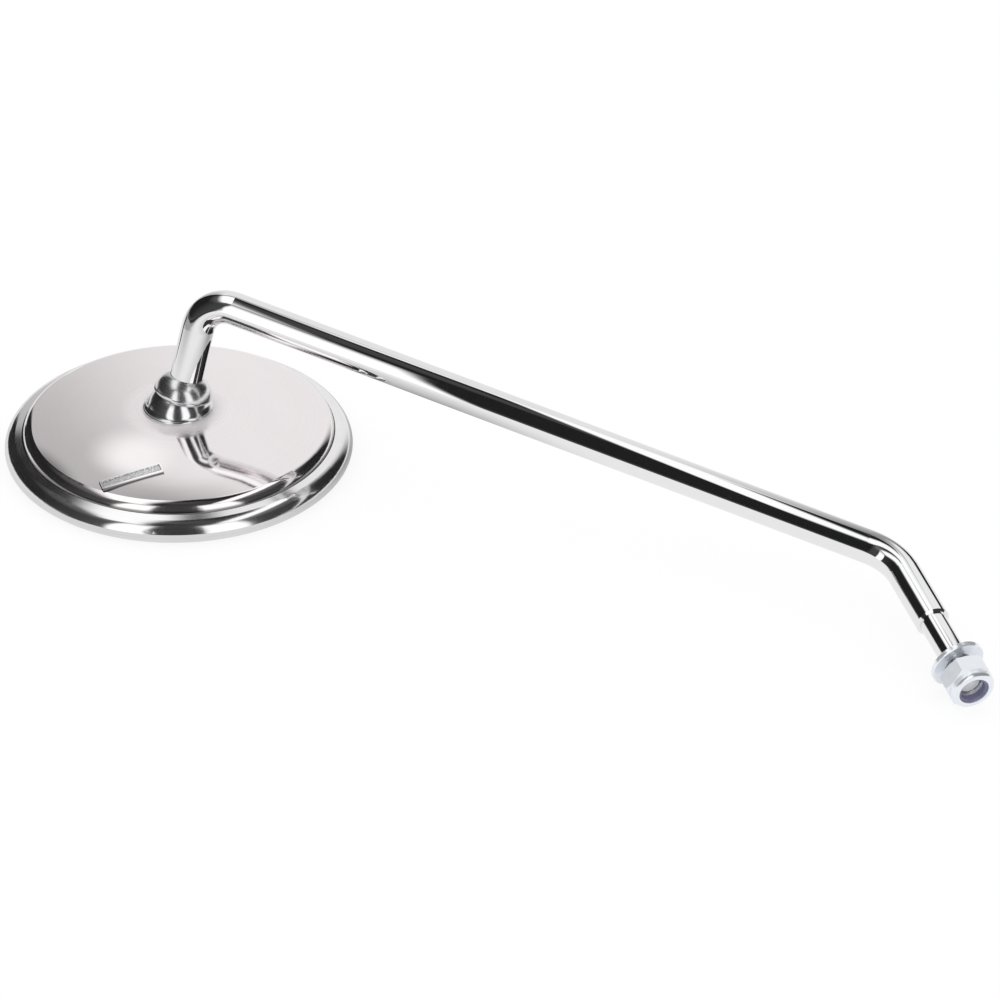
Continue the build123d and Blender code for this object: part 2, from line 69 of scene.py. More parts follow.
def bare_finish(name):
    """A new material with its node tree and its Principled shader."""
    finish = bpy.data.materials.new(name)
    finish.use_nodes = True
    tree = finish.node_tree
    return finish, tree, tree.nodes["Principled BSDF"]


def step(tree, kind, *feeds, **settings):
    """A node whose inputs take, in order, a socket to link, a plain value to set, or None to skip."""
    made = tree.nodes.new(kind)
    for key, value in settings.items():
        setattr(made, key, value)
    for place, feed in enumerate(feeds):
        if isinstance(feed, bpy.types.NodeSocket):
            tree.links.new(feed, made.inputs[place])
        elif feed is not None:
            made.inputs[place].default_value = feed
    return made


def place_on(tree):
    """Object coordinates, in metres, in the same frame as the solids."""
    return step(tree, "ShaderNodeTexCoord").outputs["Object"]


def sums(tree, how, one, other=None):
    """One arithmetic step on one or two numbers."""
    return step(tree, "ShaderNodeMath", one, other, operation=how).outputs[0]


def vectors(tree, how, one, other=None, gives="Vector"):
    """One step on one or two vectors, which gives a Vector or a Value."""
    return step(tree, "ShaderNodeVectorMath", one, other, operation=how).outputs[gives]


def along(tree, where, start, way):
    """Distance of each point from a start, along one direction."""
    offset = vectors(tree, "SUBTRACT", where, tuple(start))
    return vectors(tree, "DOT_PRODUCT", offset, tuple(way), "Value")


def mottle(tree, where, size, detail=2.0, rough=0.5):
    """Soft noise from 0 to 1 whose lumps are about one size across, in metres."""
    return step(tree, "ShaderNodeTexNoise", where, None, 1.0 / size, detail, rough).outputs["Fac"]


def spread(tree, value, low, high, start=0.0, end=1.0):
    """Value carried smoothly from the range start to end over to the range low to high."""
    made = step(tree, "ShaderNodeMapRange", value, start, end, low, high, interpolation_type="SMOOTHSTEP")
    return made.outputs["Result"]


def mixed(tree, share, one, other):
    """Number between one and the other by a share from 0 to 1."""
    return step(tree, "ShaderNodeMix", share, None, one, other).outputs[0]


def tint(tree, share, dark, light):
    """Colour between dark and light, each a colour or a socket, by a share from 0 to 1."""
    made = step(tree, "ShaderNodeMix", share, None, None, None, None, None, dark, light, data_type="RGBA")
    return made.outputs["Result"]


def toned(colour, tone):
    """Plain colour whose three parts are each multiplied by the tone's."""
    return tuple(part * share for part, share in zip(colour, tone)) + (1,)


def wire(tree, shader, colour, roughness):
    """The shader takes its colour and its roughness from two sockets."""
    tree.links.new(colour, shader.inputs["Base Color"])
    tree.links.new(roughness, shader.inputs["Roughness"])


def relief(tree, shader, height, depth):
    """Bump whose full height is a depth in metres."""
    made = step(tree, "ShaderNodeBump")
    made.inputs["Strength"].default_value = 1.0
    made.inputs["Distance"].default_value = depth
    tree.links.new(height, made.inputs["Height"])
    tree.links.new(made.outputs["Normal"], shader.inputs["Normal"])


def mirror_polish(name, colour, haze, wave_size, wave_depth):
    """Plated and buffed metal: clear reflections, faint buffing haze, a slow waver in the surface."""
    finish, tree, shader = bare_finish(name)
    where = place_on(tree)
    shader.inputs["Metallic"].default_value = 1.0
    buffing = mottle(tree, where, BUFFING_LUMP, detail=4.0, rough=0.65)
    wire(tree, shader, tint(tree, buffing, toned(colour, BUFFING_TONE), colour),
         spread(tree, buffing, *haze, *CLOUD_SPAN))
    relief(tree, shader, mottle(tree, where, wave_size), wave_depth)
    return finish


def sawn_end(finish):
    """Past a distance along the spigot the polished metal turns rough and shines less."""
    tree = finish.node_tree
    shader = tree.nodes["Principled BSDF"]
    sawn = spread(tree, along(tree, place_on(tree), seat, tail_axis), 0.0, 1.0, END_FACE, END_FACE + END_FADE)
    polished = shader.inputs["Roughness"].links[0].from_socket
    tree.links.new(mixed(tree, sawn, polished, END_ROUGHNESS), shader.inputs["Roughness"])
    tree.links.new(mixed(tree, sawn, 1.0, END_METAL), shader.inputs["Metallic"])


def wear_finish(piece, finish):
    """The piece shows one finish all over."""
    piece.data.materials.clear()
    piece.data.materials.append(finish)


rod_polish = mirror_polish("rod_polish", ROD_COLOUR, haze=(0.02, 0.045), wave_size=0.022, wave_depth=0.00002)
sawn_end(rod_polish)
wear_finish(node["stem"], rod_polish)

# Spigot thread: rolled on the end of the rod, a vee ridge that winds round with a pitch of
# 1.25 mm. It fades out at the plain shank and at the chamfered tip.
THREAD_COLOUR = (0.74, 0.75, 0.78, 1)
PITCH = 0.00125
CREST_RADIUS = 0.00397
ROOT_RADIUS = 0.00355
CREST_FLAT = 0.16
THREAD_START = 0.0141
THREAD_END = 0.0254
THREAD_FADE = 0.0009
ROUND_STEPS = 72
STEPS_A_PITCH = 20


def square_to(axis):
    """Two unit directions square to an axis and to each other."""
    side = np.cross(axis, (0.0, 0.0, 1.0))
    side = side / np.linalg.norm(side)
    return side, np.cross(axis, side)


def thread_skin():
    """Grid of turn angle by travel along the axis. The radius is a vee of the phase, which is
    travel over pitch less turns, flattened at the crest and sunk to the root near both ends."""
    rows = int((THREAD_END - THREAD_START) / PITCH * STEPS_A_PITCH)
    travel, angle = np.meshgrid(np.linspace(THREAD_START, THREAD_END, rows),
                                np.linspace(0, 2 * np.pi, ROUND_STEPS, endpoint=False), indexing="ij")
    phase = travel / PITCH - angle / (2 * np.pi)
    vee = 1 - 2 * np.abs(phase - np.round(phase))
    vee = np.clip(vee / (1 - CREST_FLAT), 0, 1)
    fade = np.clip(np.minimum(travel - THREAD_START, THREAD_END - travel) / THREAD_FADE, 0, 1)
    radius = ROOT_RADIUS + (CREST_RADIUS - ROOT_RADIUS) * vee * fade
    side, up = square_to(tail_axis)
    return (seat + travel[..., None] * tail_axis
            + radius[..., None] * (np.cos(angle)[..., None] * side + np.sin(angle)[..., None] * up))


def closed_tube(name, grid):
    """Mesh from a grid whose columns run round: quads between rows, and each end closed to the
    middle of its last row."""
    rows, columns = grid.shape[:2]
    points = np.concatenate([grid.reshape(-1, 3), grid[:1].mean(axis=1), grid[-1:].mean(axis=1)])
    here = np.arange(rows * columns).reshape(rows, columns)
    beside = np.roll(here, -1, axis=1)
    quads = np.stack([here[:-1], beside[:-1], beside[1:], here[1:]], axis=-1).reshape(-1, 4)
    first = np.stack([beside[0], here[0], np.full(columns, rows * columns)], axis=-1)
    last = np.stack([here[-1], beside[-1], np.full(columns, rows * columns + 1)], axis=-1)
    mesh = bpy.data.meshes.new(name)
    mesh.from_pydata(points.tolist(), [], quads.tolist() + first.tolist() + last.tolist())
    mesh.polygons.foreach_set("use_smooth", np.ones(len(mesh.polygons), dtype=bool))
    mesh.update()
    piece = bpy.data.objects.new(name, mesh)
    bpy.context.scene.collection.objects.link(piece)
    return piece


spigot_thread = closed_tube("spigot_thread", thread_skin())
wear_finish(spigot_thread, mirror_polish("thread_plating", THREAD_COLOUR, haze=(0.14, 0.24),
                                         wave_size=0.0008, wave_depth=0.00001))
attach(spigot_thread, "stem")

# Domed cap: turned from bar on a lathe, so fine rings run round its axis, then lightly buffed.
# The rod's end sits in it and it rides on the ball-topped boss.
CAP_COLOUR = (0.84, 0.84, 0.85, 1)
RING_SIZE = 0.0004
RING_DETAIL = 3.0
RING_ROUGH = 0.6
RING_SPAN = (0.25, 0.75)
SMEAR_LUMP = 0.003
LATHE_TONE = (0.88, 0.88, 0.88)
swing = {joint["name"]: joint for joint in frame["joints"]}
ball = np.array(swing["rod_spin"]["pos_m"])
rise = np.array(swing["rod_spin"]["axis"])


def lathe_finish(name, colour, axis, ring_depth, haze):
    """Turned steel: rings of 1-D noise along the axis, as a fine relief and as bands of haze."""
    finish, tree, shader = bare_finish(name)
    where = place_on(tree)
    shader.inputs["Metallic"].default_value = 1.0
    height = vectors(tree, "DOT_PRODUCT", where, tuple(axis), "Value")
    rings = step(tree, "ShaderNodeTexNoise", None, height, 1.0 / RING_SIZE, RING_DETAIL, RING_ROUGH,
                 noise_dimensions="1D").outputs["Fac"]
    smear = mottle(tree, where, SMEAR_LUMP, detail=3.0)
    wire(tree, shader, tint(tree, smear, toned(colour, LATHE_TONE), colour),
         spread(tree, rings, *haze, *RING_SPAN))
    relief(tree, shader, rings, ring_depth)
    return finish


wear_finish(node["dome_cap"], lathe_finish("cap_turning", CAP_COLOUR, rise,
                                           ring_depth=0.000001, haze=(0.19, 0.27)))

# Ball-topped boss: turned from stainless bar and polished, with a waist and a flared foot under
# the ball. Its skirt goes through the hole in the back shell and is swaged over inside.
BOSS_COLOUR = (0.86, 0.86, 0.87, 1)
wear_finish(node["swivel_boss"], lathe_finish("boss_turning", BOSS_COLOUR, (0, 0, 1),
                                              ring_depth=0.000001, haze=(0.13, 0.20)))

# Spring pack and liner inside the head: thrust washer, disc springs, retainer and thin nut in
# plain steel on the stud, and a moulded nylon liner under the ball. None shows from outside.
STEEL_COLOUR = (0.62, 0.62, 0.63, 1)
SPRING_COLOUR = (0.36, 0.36, 0.37, 1)
LINER_DARK = (0.72, 0.71, 0.66, 1)
LINER_LIGHT = (0.82, 0.81, 0.77, 1)
GRAINS_A_CLOUD = 8
plain_steel = lathe_finish("plain_steel", STEEL_COLOUR, rise, ring_depth=0.00001, haze=(0.22, 0.36))
spring_steel = mirror_polish("oiled_spring_steel", SPRING_COLOUR, haze=(0.25, 0.4),
                             wave_size=0.003, wave_depth=0.00002)
for name in ("thrust_washer", "spring_retainer", "swivel_nut"):
    wear_finish(node[name], plain_steel)
for number in (1, 2, 3, 4):
    wear_finish(node[f"disc_spring_{number}"], spring_steel)


def moulded_finish(name, dark, light, grain, depth, haze):
    """Moulded plastic or rubber: fine grain in the surface and a slight cloud in the colour."""
    finish, tree, shader = bare_finish(name)
    where = place_on(tree)
    cloud = mottle(tree, where, GRAINS_A_CLOUD * grain, detail=3.0)
    wire(tree, shader, tint(tree, cloud, dark, light), spread(tree, cloud, *haze, *CLOUD_SPAN))
    relief(tree, shader, mottle(tree, where, grain), depth)
    return finish


wear_finish(node["friction_liner"], moulded_finish("white_nylon", LINER_DARK, LINER_LIGHT,
                                                   grain=0.0006, depth=0.00001, haze=(0.35, 0.5)))

# Back shell: pressed and spun stainless sheet, a shallow dome that rolls over into a short wall.
# It is buffed to a soft mirror on a turning wheel, which leaves it satin close to the boss.
# Painted shade darkens the crease at the foot of the wall. Its flange is gripped in the rim ring.
SHELL_DARK = (0.905, 0.86, 0.868, 1)
SHELL_LIGHT = (0.93, 0.885, 0.893, 1)
# Colour of the painted shade in the crease at the foot of the wall.
CREASE_SHADE_COLOUR = (0.24, 0.235, 0.235, 1)
STREAK_SIZE = 0.0004
STREAK_CLOUD = 0.012
STREAK_SPAN = (0.6, 1.4)
HUB_SATIN = (0.0185, 0.0105, 0.5, 0.45)
EDGE_SATIN = (0.0445, 0.0475, 0.13, 1.0)
SHELL_CREASE_SHADE = (-0.0056, -0.0049)


def spun_finish(name, dark, light, haze, streak_depth, satin=(), crease=None):
    """Metal finished on a turning wheel: streaks of 2-D noise by distance from the head's axis and
    by height, so they run round it, in the haze, the colour and a very fine relief. Each satin
    zone gives where it begins and is full, out from the axis, its roughness and its metal share.
    A crease gives two heights from the ball's middle, below which painted shade darkens the metal."""
    finish, tree, shader = bare_finish(name)
    where = place_on(tree)
    shader.inputs["Metallic"].default_value = 1.0
    from_ball = vectors(tree, "SUBTRACT", where, tuple(ball))
    reach = vectors(tree, "LENGTH", vectors(tree, "MULTIPLY", from_ball, (1, 1, 0)), gives="Value")
    tall = step(tree, "ShaderNodeSeparateXYZ", from_ball).outputs["Z"]
    section = step(tree, "ShaderNodeCombineXYZ", reach, tall).outputs["Vector"]
    streaks = step(tree, "ShaderNodeTexNoise", section, None, 1.0 / STREAK_SIZE, RING_DETAIL, RING_ROUGH,
                   noise_dimensions="2D").outputs["Fac"]
    both = sums(tree, "ADD", streaks, mottle(tree, where, STREAK_CLOUD, detail=3.0))
    colour = tint(tree, spread(tree, both, 0, 1, *STREAK_SPAN), dark, light)
    # Painted shade: the colour darkens towards the crease at the wall's foot.
    if crease:
        colour = tint(tree, spread(tree, tall, 1.0, 0.0, *crease), colour, CREASE_SHADE_COLOUR)
    rough, metal = spread(tree, both, *haze, *STREAK_SPAN), 1.0
    for begins, full, dull, bare in satin:
        inside = spread(tree, reach, 0.0, 1.0, begins, full)
        rough = mixed(tree, inside, rough, dull)
        metal = mixed(tree, inside, metal, bare)
    wire(tree, shader, colour, rough)
    if satin:
        tree.links.new(metal, shader.inputs["Metallic"])
    relief(tree, shader, streaks, streak_depth)
    return finish


wear_finish(node["back_shell"], spun_finish("shell_buffing", SHELL_DARK, SHELL_LIGHT, haze=(0.05, 0.075),
                                            streak_depth=0.0000002, satin=(HUB_SATIN, EDGE_SATIN),
                                            crease=SHELL_CREASE_SHADE))

# Rim ring: strip rolled to a round bead and closed over the glass, the gasket and the shell's
# flange, then brushed and buffed with the shell.
RIM_DARK = (0.85, 0.84, 0.845, 1)
RIM_LIGHT = (0.92, 0.91, 0.915, 1)
wear_finish(node["rim_ring"], spun_finish("rim_buffing", RIM_DARK, RIM_LIGHT, haze=(0.10, 0.16),
                                          streak_depth=0.000001))

# Mirror glass and gasket: a convex glass plate silvered on its back, which lies in a black
# extruded rubber channel. The rim ring is rolled over both.
GLASS_COLOUR = (0.86, 0.89, 0.89, 1)
RUBBER_DARK = (0.012, 0.012, 0.012, 1)
RUBBER_LIGHT = (0.03, 0.03, 0.03, 1)
wear_finish(node["mirror_glass"], mirror_polish("silvered_glass", GLASS_COLOUR, haze=(0.0, 0.012),
                                                wave_size=0.05, wave_depth=0.000004))
wear_finish(node["glass_gasket"], moulded_finish("gasket_rubber", RUBBER_DARK, RUBBER_LIGHT,
                                                 grain=0.0005, depth=0.00002, haze=(0.5, 0.7)))

# Name plate: a small stamped plate glued to the dome, with a bright raised border round a
# finely stippled field. It carries no words.
PLATE_BORDER = 0.0006
BORDER_COLOUR = (0.98, 0.98, 0.985, 1)
FIELD_LIGHT = (0.96, 0.96, 0.965, 1)
FIELD_DARK = (0.62, 0.62, 0.63, 1)
# Colour of the painted shade on the plate's walls.
WALL_SHADE_COLOUR = (0.16, 0.16, 0.165, 1)
STIPPLES_A_METRE = 1700.0
STIPPLE_SPAN = (0.1, 0.6)
STIPPLE_DEPTH = 0.000008
STIPPLE_HAZE = (0.12, 0.22)
BORDER_ROUGHNESS = 0.10
BORDER_EDGE = (1.15, 0.85)       # where the border begins and is full, in border widths from the end
OUTER_EDGE = (0.4, 0.2)          # the same for the strip in which walls get painted shade
WALL_FACING = (0.35, 0.65)


def stamped_finish(piece):
    """Polished border, stippled field and walls darkened with painted shade. The plate's own long, short and
    square directions are the principal axes of its points, and the border is what lies near their ends."""
    points = np.empty(3 * len(piece.data.vertices), dtype=np.float32)
    piece.data.vertices.foreach_get("co", points)
    points = points.reshape(-1, 3).astype(float)
    middle = (points.min(axis=0) + points.max(axis=0)) / 2
    long_way, short_way, square_way = np.linalg.svd(points - points.mean(axis=0), full_matrices=False)[2]
    finish, tree, shader = bare_finish("stamped_plate")
    where = place_on(tree)
    shader.inputs["Metallic"].default_value = 1.0
    edge, outermost = 0.0, 0.0
    for way in (long_way, short_way):
        far = np.abs((points - middle) @ way).max()
        out = sums(tree, "ABSOLUTE", along(tree, where, middle, way))
        near_end = [far - widths * PLATE_BORDER for widths in BORDER_EDGE]
        at_end = [far - widths * PLATE_BORDER for widths in OUTER_EDGE]
        edge = sums(tree, "MAXIMUM", spread(tree, out, 0.0, 1.0, *near_end), edge)
        outermost = sums(tree, "MAXIMUM", spread(tree, out, 0.0, 1.0, *at_end), outermost)
    normal = step(tree, "ShaderNodeTexCoord").outputs["Normal"]
    facing = sums(tree, "ABSOLUTE", vectors(tree, "DOT_PRODUCT", normal, tuple(square_way), "Value"))
    # Painted shade on the walls: near the plate's ends and turned away from the plate's face.
    wall = sums(tree, "MULTIPLY", spread(tree, facing, 1.0, 0.0, *WALL_FACING), outermost)
    grain = step(tree, "ShaderNodeTexVoronoi", where, None, STIPPLES_A_METRE).outputs["Distance"]
    pits = spread(tree, grain, 0, 1, *STIPPLE_SPAN)
    colour = tint(tree, edge, tint(tree, pits, FIELD_LIGHT, FIELD_DARK), BORDER_COLOUR)
    wire(tree, shader, tint(tree, wall, colour, WALL_SHADE_COLOUR),
         mixed(tree, edge, spread(tree, grain, *STIPPLE_HAZE), BORDER_ROUGHNESS))
    relief(tree, shader, sums(tree, "MULTIPLY", pits, sums(tree, "SUBTRACT", 1.0, edge)), STIPPLE_DEPTH)
    return finish


wear_finish(node["name_plate"], stamped_finish(node["name_plate"]))

# Washer and lock nut: zinc-plated steel, washed pale blue, with a soft uneven shine. The washer
# is stamped, the nut is cold forged and holds a violet nylon ring in its collar.
WASHER_COLOUR = (0.94, 0.955, 0.965, 1)
NUT_COLOUR = (0.94, 0.955, 0.97, 1)
ZINC_TONE = (0.86, 0.90, 0.97)
ZINC_LUMP = 0.004
ZINC_METAL = 0.6
NUT_METAL = 0.72
FLATS_FROM = 0.0063
FLATS_FADE = 0.00015
FLATS_METAL = 0.3
FLATS_ROUGHNESS = 0.3
SCRATCH_SIZE = 0.0006
SCRATCH_DEPTH = 0.000012
NYLON_DARK = (0.15, 0.145, 0.25, 1)
NYLON_LIGHT = (0.23, 0.225, 0.34, 1)


def zinc_finish(name, colour, haze, forged=False):
    """Bright zinc: cloudy shine, a bluish cast that comes and goes, fine scratches. On a forged
    piece the flats, past a distance from the spigot's axis, are paler and duller."""
    finish, tree, shader = bare_finish(name)
    where = place_on(tree)
    shader.inputs["Metallic"].default_value = ZINC_METAL
    cloud = mottle(tree, where, ZINC_LUMP, detail=4.0, rough=0.6)
    rough = spread(tree, cloud, *haze, *CLOUD_SPAN)
    if forged:
        from_seat = vectors(tree, "SUBTRACT", where, tuple(seat))
        across_axis = vectors(tree, "CROSS_PRODUCT", from_seat, tuple(tail_axis))
        reach = vectors(tree, "LENGTH", across_axis, gives="Value")
        flats = spread(tree, reach, 0.0, 1.0, FLATS_FROM, FLATS_FROM + FLATS_FADE)
        rough = mixed(tree, flats, rough, FLATS_ROUGHNESS)
        tree.links.new(spread(tree, flats, NUT_METAL, FLATS_METAL), shader.inputs["Metallic"])
    wire(tree, shader, tint(tree, cloud, toned(colour, ZINC_TONE), colour), rough)
    relief(tree, shader, mottle(tree, where, SCRATCH_SIZE, detail=3.0, rough=0.6), SCRATCH_DEPTH)
    return finish


wear_finish(node["spigot_washer"], zinc_finish("washer_zinc", WASHER_COLOUR, haze=(0.14, 0.22)))
wear_finish(node["lock_nut"], zinc_finish("nut_zinc", NUT_COLOUR, haze=(0.12, 0.20), forged=True))
wear_finish(node["nylon_insert"], moulded_finish("violet_nylon", NYLON_DARK, NYLON_LIGHT,
                                                 grain=0.0005, depth=0.00001, haze=(0.18, 0.30)))

# Studio table, not part of the object: a wide sheet of white paper under the mirror, which
# polished metal sees greyer far to the left and front, with painted shadow close round the head and in a soft
# pool beside it.
VIEW_TURN = math.radians(21.34)
TABLE_HALF = 4.0
TABLE_COLOUR = (0.9, 0.9, 0.9, 1)
TABLE_ROUGHNESS = 0.9
SIDE_LEVELS, SIDE_SPAN = (0.381, 0.93), (-0.3468, -0.0651)
FRONT_LEVEL, FRONT_SPAN = 0.03, (0.23, 0.38)
# Painted shadow: levels and spans close round the head, and of the soft pool beside it.
HEAD_SHADOW_LEVELS, HEAD_SHADOW_SPAN = (0.81, 1.0), (0.06, 0.12)
POOL_AT = (0.07, 0.004, 0)
POOL_LEVELS, POOL_SPAN = (0.095, 1.0), (-0.0596, 0.0803)
PAPER_GLOW = 1.04
PAPER_SHARE = 0.8
table_height = cad_low[2]


def flat_sheet(name, corners):
    """One flat face between four corners, in order round it."""
    mesh = bpy.data.meshes.new(name)
    mesh.from_pydata(corners, [], [(0, 1, 2, 3)])
    piece = bpy.data.objects.new(name, mesh)
    bpy.context.scene.collection.objects.link(piece)
    return piece


def seen_way(right_of, ahead_of, above):
    """World direction from parts to the right, ahead and up, as the camera sees them."""
    return Vector((right_of * math.cos(VIEW_TURN) - ahead_of * math.sin(VIEW_TURN),
                   right_of * math.sin(VIEW_TURN) + ahead_of * math.cos(VIEW_TURN), above))


def from_head(right_of, ahead_of, above):
    """World point from metres right of, ahead of and above the head's foot, as the camera sees them."""
    return Vector((ball[0], ball[1], table_height)) + seen_way(right_of, ahead_of, above)


def white_table():
    """White paper: to the eye mostly plain white with a faint shadow; to metal a level that falls
    off to the left and far to the front, with painted shadow close round the head and in a round pool beside
    it."""
    finish, tree, shader = bare_finish("white_table")
    where = place_on(tree)
    shader.inputs["Base Color"].default_value = TABLE_COLOUR
    shader.inputs["Roughness"].default_value = TABLE_ROUGHNESS
    shader.inputs["Specular IOR Level"].default_value = 0.0
    foot = from_head(0, 0, 0)
    dimmed = spread(tree, along(tree, where, foot, seen_way(1, 0, 0)), *SIDE_LEVELS, *SIDE_SPAN)
    front = spread(tree, along(tree, where, foot, seen_way(0, -1, 0)), 0.0, 1.0, *FRONT_SPAN)
    dimmed = mixed(tree, front, dimmed, FRONT_LEVEL)
    # Painted shadow on the paper as metal sees it: close round the head's foot and in a pool beside it.
    from_foot = vectors(tree, "DISTANCE", where, tuple(foot), "Value")
    dimmed = sums(tree, "MULTIPLY", dimmed, spread(tree, from_foot, *HEAD_SHADOW_LEVELS, *HEAD_SHADOW_SPAN))
    from_pool = vectors(tree, "DISTANCE", where, tuple(from_head(*POOL_AT)), "Value")
    dimmed = sums(tree, "MULTIPLY", dimmed, spread(tree, from_pool, *POOL_LEVELS, *POOL_SPAN))
    path = step(tree, "ShaderNodeLightPath").outputs
    glow = step(tree, "ShaderNodeEmission", None, mixed(tree, path["Is Glossy Ray"], PAPER_GLOW, dimmed))
    to_eye = sums(tree, "MULTIPLY", path["Is Camera Ray"], PAPER_SHARE)
    share = sums(tree, "MAXIMUM", to_eye, path["Is Glossy Ray"])
    both = step(tree, "ShaderNodeMixShader", share, shader.outputs[0], glow.outputs[0])
    tree.links.new(both.outputs[0], tree.nodes["Material Output"].inputs["Surface"])
    return finish


table = flat_sheet("table", [(x * TABLE_HALF, y * TABLE_HALF, table_height)
                             for x, y in ((-1, -1), (1, -1), (1, 1), (-1, 1))])
wear_finish(table, white_table())

# Drapes round the studio: white to the eye, near black in metal. Metal sees them a little lighter
# to the left and right, behind the camera, high up at both sides, overhead and close to the table.
# Each has a level, and the degrees of bearing or of height over which it comes in or goes out.
PLAIN_LEVELS, PLAIN_SPAN = (0.02, 0.018), (-60, 60)
RIGHT_LEVEL, RIGHT_OPENS = 0.037, (60, 110)
LEFT_LEVEL, LEFT_OPENS, LEFT_CLOSES = 0.055, (-146, -138), (-138, -75)
HIGH_LEVEL, HIGH_OPENS, HIGH_CLOSES = 0.13, (36, 57), (60, 70)
SIDES_OPEN, SIDES_CLOSE = (30, 50), (128, 142)
BEHIND_LEVEL, BEHIND_OPENS = 0.045, (155, 168)
TOP_LEVEL, TOP_OPENS = 0.08, (75.6, 84.8)
LOW_LEVEL, LOW_CLOSES = 0.1, (0.0, 6.0)
world = bpy.data.worlds.new("studio")
world.use_nodes = True
bpy.context.scene.world = world
sky = world.node_tree


def sweep(angle, low, high, start, end):
    """Level carried from low to high while an angle goes from start to end, in degrees."""
    return spread(sky, angle, low, high, math.radians(start), math.radians(end))


outward = step(sky, "ShaderNodeTexCoord").outputs["Generated"]
outward = step(sky, "ShaderNodeVectorRotate", outward, None, (0, 0, 1), -VIEW_TURN,
               rotation_type="AXIS_ANGLE").outputs[0]
parts = step(sky, "ShaderNodeSeparateXYZ", outward).outputs
bearing = sums(sky, "ARCTAN2", parts[0], parts[1])
from_front = sums(sky, "ABSOLUTE", bearing)
height = sums(sky, "ARCSINE", parts[2])
drape = sweep(bearing, *PLAIN_LEVELS, *PLAIN_SPAN)
drape = sums(sky, "ADD", drape, sweep(bearing, 0.0, RIGHT_LEVEL, *RIGHT_OPENS))
left_side = sums(sky, "MULTIPLY", sweep(bearing, 0.0, 1.0, *LEFT_OPENS),
                 sweep(bearing, LEFT_LEVEL, 0.0, *LEFT_CLOSES))
drape = sums(sky, "ADD", drape, left_side)
aloft = sums(sky, "MULTIPLY", sweep(height, 0.0, HIGH_LEVEL, *HIGH_OPENS),
             sweep(height, 1.0, 0.0, *HIGH_CLOSES))
beside = sums(sky, "MULTIPLY", sweep(from_front, 0.0, 1.0, *SIDES_OPEN),
              sweep(from_front, 1.0, 0.0, *SIDES_CLOSE))
drape = sums(sky, "ADD", drape, sums(sky, "MULTIPLY", aloft, beside))
drape = mixed(sky, sweep(from_front, 0.0, 1.0, *BEHIND_OPENS), drape, BEHIND_LEVEL)
drape = sums(sky, "MAXIMUM", drape, sweep(height, 0.0, TOP_LEVEL, *TOP_OPENS))
drape = sums(sky, "MAXIMUM", drape, sweep(height, LOW_LEVEL, 0.0, *LOW_CLOSES))
rays = step(sky, "ShaderNodeLightPath").outputs
mirrored = step(sky, "ShaderNodeBackground", None, drape)
plain = step(sky, "ShaderNodeBackground", (1, 1, 1, 1), 1.0)
choice = step(sky, "ShaderNodeMixShader", rays["Is Glossy Ray"], plain.outputs[0], mirrored.outputs[0])
sky.links.new(choice.outputs[0], sky.nodes["World Output"].inputs["Surface"])


# Cards, not part of the object, which only metal sees: one standing at each front corner, three
# lying overhead, a low dark one at the left of the head and a narrow one raised behind the tail.
def card(name, start, turn, stands, spans, fades, strength):
    """Flat glowing rectangle from a start point: its first span lies level, turned from the right;
    its second goes up where it stands, or level too. Its edges fade to clear over four widths."""
    angle = math.radians(turn)
    across = seen_way(math.cos(angle), math.sin(angle), 0)
    onward = Vector((0, 0, 1)) if stands else seen_way(-math.sin(angle), math.cos(angle), 0)
    origin = from_head(*start)
    (near, far), (low, high) = [(span[0] - fade[0], span[1] + fade[1]) for span, fade in zip(spans, fades)]
    piece = flat_sheet(name, [origin + u * across + v * onward
                              for u, v in ((near, low), (far, low), (far, high), (near, high))])
    finish, tree, shader = bare_finish(name)
    tree.nodes.remove(shader)
    where = place_on(tree)
    places = along(tree, where, origin, across), along(tree, where, origin, onward)
    cover = 1.0
    for place, span, fade in zip(places, spans, fades):
        opens = spread(tree, place, 0.0, 1.0, span[0] - fade[0], span[0])
        closes = spread(tree, place, 1.0, 0.0, span[1], span[1] + fade[1])
        cover = sums(tree, "MULTIPLY", sums(tree, "MULTIPLY", opens, closes), cover)
    glow = step(tree, "ShaderNodeEmission", (1, 1, 1, 1), strength)
    clear = step(tree, "ShaderNodeBsdfTransparent")
    both = step(tree, "ShaderNodeMixShader", cover, clear.outputs[0], glow.outputs[0])
    tree.links.new(both.outputs[0], tree.nodes["Material Output"].inputs["Surface"])
    wear_finish(piece, finish)
    piece.visible_camera = False
    piece.visible_diffuse = False
    piece.visible_shadow = False
    return tree, places, glow, both


card("left_card", start=(-0.075, -0.2436, 0), turn=145.9, stands=True, strength=1.25,
     spans=((0, 0.0831), (-0.05, 0.2067)), fades=((0.018, 0.0185), (0.02, 0.2727)))
card("right_card", start=(0.1726, -0.4626, 0), turn=26.8, stands=True, strength=1.2,
     spans=((0, 0.2103), (-0.05, 0.4833)), fades=((0.0299, 0.0281), (0.02, 0.3286)))
card("overhead_left", start=(0, 0, 0.6204), turn=-16.8, stands=False, strength=1.15,
     spans=((-0.2551, -0.1214), (-0.3043, 0.2154)), fades=((0.1653, 0.0782), (0.0761, 0.0574)))
card("overhead_right", start=(0, 0, 0.311), turn=-0.8, stands=False, strength=1.15,
     spans=((0.1317, 0.1988), (-0.1646, 0.1026)), fades=((0.0195, 0.0265), (0.075, 0.0428)))
card("overhead_far", start=(0, 0, 0.45), turn=19.0, stands=False, strength=0.95,
     spans=((0.12, 0.3), (0.1, 0.16)), fades=((0.06, 0.09), (0.02, 0.03)))
card("left_flag", start=(-0.135, 0.05, 0), turn=0.0, stands=True, strength=0.02,
     spans=((0, 0.05), (-0.01, 0.035)), fades=((0.01, 0.006), (0.005, 0.012)))
card("tail_card", start=(0, 0, 0), turn=0.0, stands=True, strength=0.95,
     spans=((0.245, 0.287), (0.06, 0.20)), fades=((0.012, 0.012), (0.015, 0.03)))

